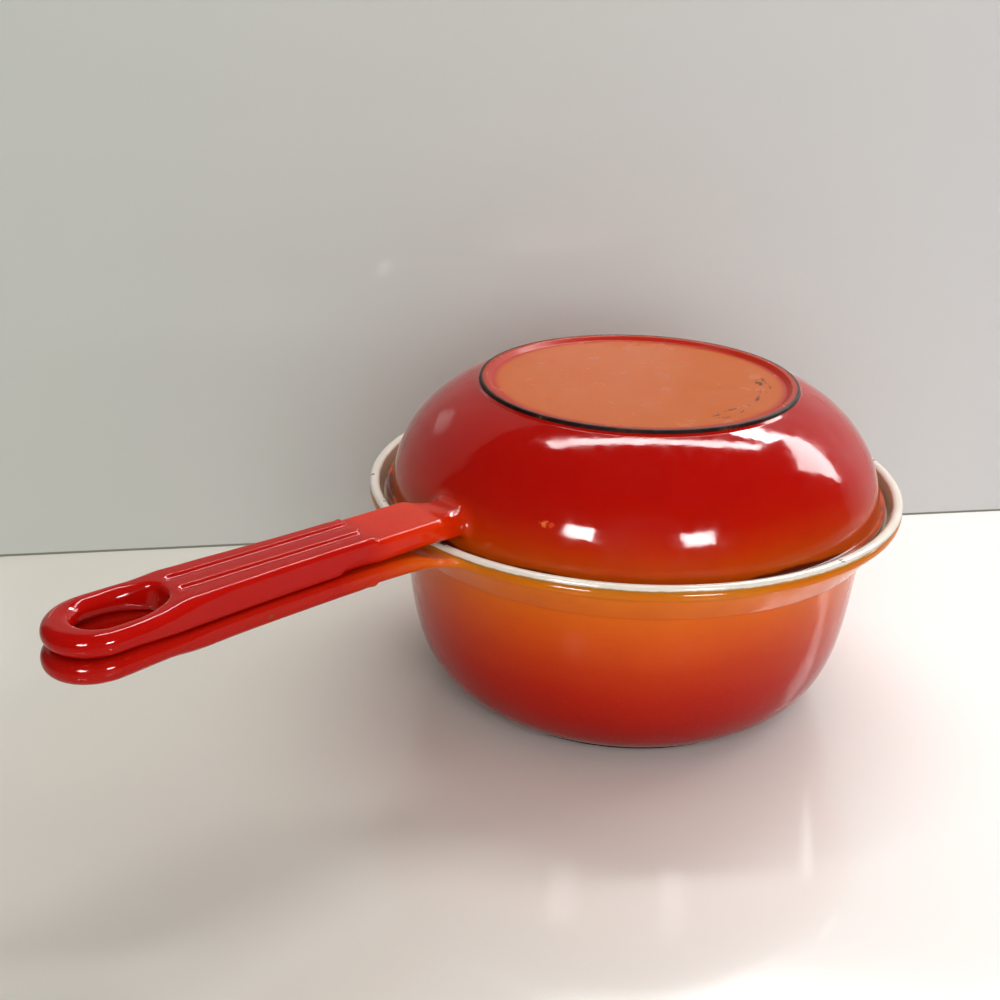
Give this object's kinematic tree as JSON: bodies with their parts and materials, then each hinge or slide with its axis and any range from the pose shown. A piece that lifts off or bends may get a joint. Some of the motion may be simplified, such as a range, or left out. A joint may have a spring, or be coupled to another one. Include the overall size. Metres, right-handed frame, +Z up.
{
  "type": "saucepan with skillet lid",
  "caption": "Enamelled cast-iron saucepan with a flared collar, closed by an upturned shallow skillet; both long handles lie one above the other and end in hanging loops.",
  "frame": {"origin": "on the table, at the middle of the footprint of pans and handles together", "axes": "+Z up out of the saucepan; both handles run along -X, away from the pans; +Y completes the frame"},
  "size_m": [0.3994, 0.238, 0.1439],
  "materials": {
    "flame_enamel": "glossy enamel over cast iron, orange at the collar and deep red at the base",
    "deep_flame_enamel": "glossy enamel over cast iron, deep red and orange towards the rim",
    "cream_enamel": "opaque glossy cream enamel"
  },
  "bodies": {
    "saucepan": {"saucepan_casting": "flame_enamel", "saucepan_lining": "cream_enamel"},
    "skillet_lid": {"skillet_casting": "deep_flame_enamel", "skillet_lining": "cream_enamel"}
  },
  "joints": [
    {"name": "lid_lift", "type": "slide", "parent": "saucepan", "child": "skillet_lid", "axis": [0, 0, 1], "range_m": [0, 0.15]}
  ]
}
